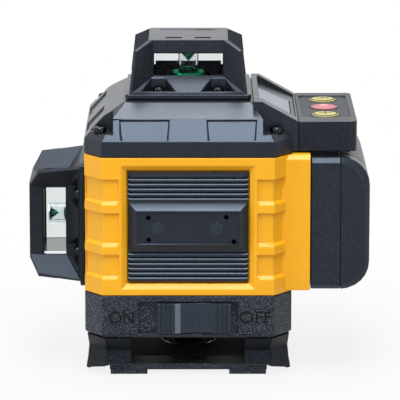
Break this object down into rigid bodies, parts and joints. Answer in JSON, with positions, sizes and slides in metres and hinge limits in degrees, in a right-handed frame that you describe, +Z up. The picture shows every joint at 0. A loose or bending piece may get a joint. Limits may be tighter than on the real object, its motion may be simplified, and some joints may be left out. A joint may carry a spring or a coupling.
{
  "type": "self-levelling laser level",
  "caption": "Free-standing laser level with a yellow body, glazed prism heads on the top, left and rear, a lower window, a transport lock switch, a keypad and a slide-off battery pack.",
  "frame": {"origin": "centre of the bounding box in plan, on the floor under the foot pads", "axes": "+X to the right towards the battery pack, +Y to the rear, +Z up"},
  "size_m": [0.1266, 0.109, 0.1221],
  "materials": {
    "yellow_shell": "matte moulded plastic",
    "black_plastic": "fine spark-eroded black plastic",
    "grey_plastic": "plain dark grey plastic",
    "clear_glass": "clear",
    "green_lens": "coated lens",
    "cone_mirror": "polished",
    "brass": "turned",
    "steel": "satin",
    "aluminium": "machined",
    "circuit_board": "solder mask",
    "display_glass": "smooth",
    "yellow_key": "soft",
    "red_key": "soft",
    "cell_wrap": "shrink wrapped"
  },
  "bodies": {
    "housing": {"body_shell": "yellow_shell", "foot_frame": "black_plastic", "base_housing": "black_plastic", "front_panel": "black_plastic", "top_cover": "black_plastic", "control_block": "black_plastic", "top_head_frame": "black_plastic", "left_head_frame": "black_plastic", "rear_head_frame": "black_plastic", "chassis": "grey_plastic", "terminal_block": "grey_plastic", "lower_window": "clear_glass", "top_head_glass": "clear_glass", "left_head_glass": "clear_glass", "rear_head_glass": "clear_glass", "tripod_insert": "brass", "bearing_left": "steel", "bearing_right": "steel", "damping_magnets": "steel", "cover_screw_front_left": "steel", "cover_screw_front_right": "steel", "cover_screw_rear_left": "steel", "cover_screw_rear_right": "steel", "main_board": "circuit_board", "keypad_board": "circuit_board", "lcd_window": "display_glass"},
    "gimbal": {"gimbal_ring": "aluminium", "gimbal_pin_left": "steel", "gimbal_pin_right": "steel"},
    "pendulum": {"pendulum_frame": "aluminium", "pendulum_pin_front": "steel", "pendulum_pin_rear": "steel", "counterweight": "brass", "trim_weight_right": "brass", "trim_weight_front": "brass", "top_laser_barrel": "aluminium", "top_lens": "green_lens", "top_glass_tube": "clear_glass", "top_cone_mirror": "cone_mirror", "left_laser_barrel": "aluminium", "left_lens": "green_lens", "left_glass_tube": "clear_glass", "left_cone_mirror": "cone_mirror", "rear_laser_barrel": "aluminium", "rear_lens": "green_lens", "rear_glass_tube": "clear_glass", "rear_cone_mirror": "cone_mirror", "lower_laser_barrel": "aluminium", "lower_lens": "green_lens", "lower_glass_tube": "clear_glass", "lower_cone_mirror": "cone_mirror"},
    "switch": {"switch_knob": "black_plastic", "lock_yoke": "grey_plastic"},
    "key_lines": {"button_lines": "yellow_key"},
    "key_power": {"button_power": "red_key"},
    "key_dim": {"button_dim": "yellow_key"},
    "battery": {"battery_case": "black_plastic", "battery_end_cap": "black_plastic", "battery_cell_lower": "cell_wrap", "battery_cell_upper": "cell_wrap"}
  },
  "joints": [
    {"name": "gimbal_tilt", "type": "hinge", "parent": "housing", "child": "gimbal", "pos_m": [-0.0037, -0.00985, 0.078], "axis": [1, 0, 0], "range_deg": [-3, 3]},
    {"name": "pendulum_tilt", "type": "hinge", "parent": "gimbal", "child": "pendulum", "pos_m": [-0.0037, -0.00985, 0.078], "axis": [0, 1, 0], "range_deg": [-3, 3]},
    {"name": "lock_switch", "type": "slide", "parent": "housing", "child": "switch", "axis": [-1, 0, 0], "range_m": [0, 0.0064]},
    {"name": "key_lines_press", "type": "slide", "parent": "housing", "child": "key_lines", "axis": [0, 0, -1], "range_m": [0, 0.0008], "stiffness_N_per_m": 500},
    {"name": "key_power_press", "type": "slide", "parent": "housing", "child": "key_power", "axis": [0, 0, -1], "range_m": [0, 0.0008], "stiffness_N_per_m": 500},
    {"name": "key_dim_press", "type": "slide", "parent": "housing", "child": "key_dim", "axis": [0, 0, -1], "range_m": [0, 0.0008], "stiffness_N_per_m": 500},
    {"name": "battery_slide", "type": "slide", "parent": "housing", "child": "battery", "axis": [1, 0, 0], "range_m": [0, 0.025]}
  ]
}
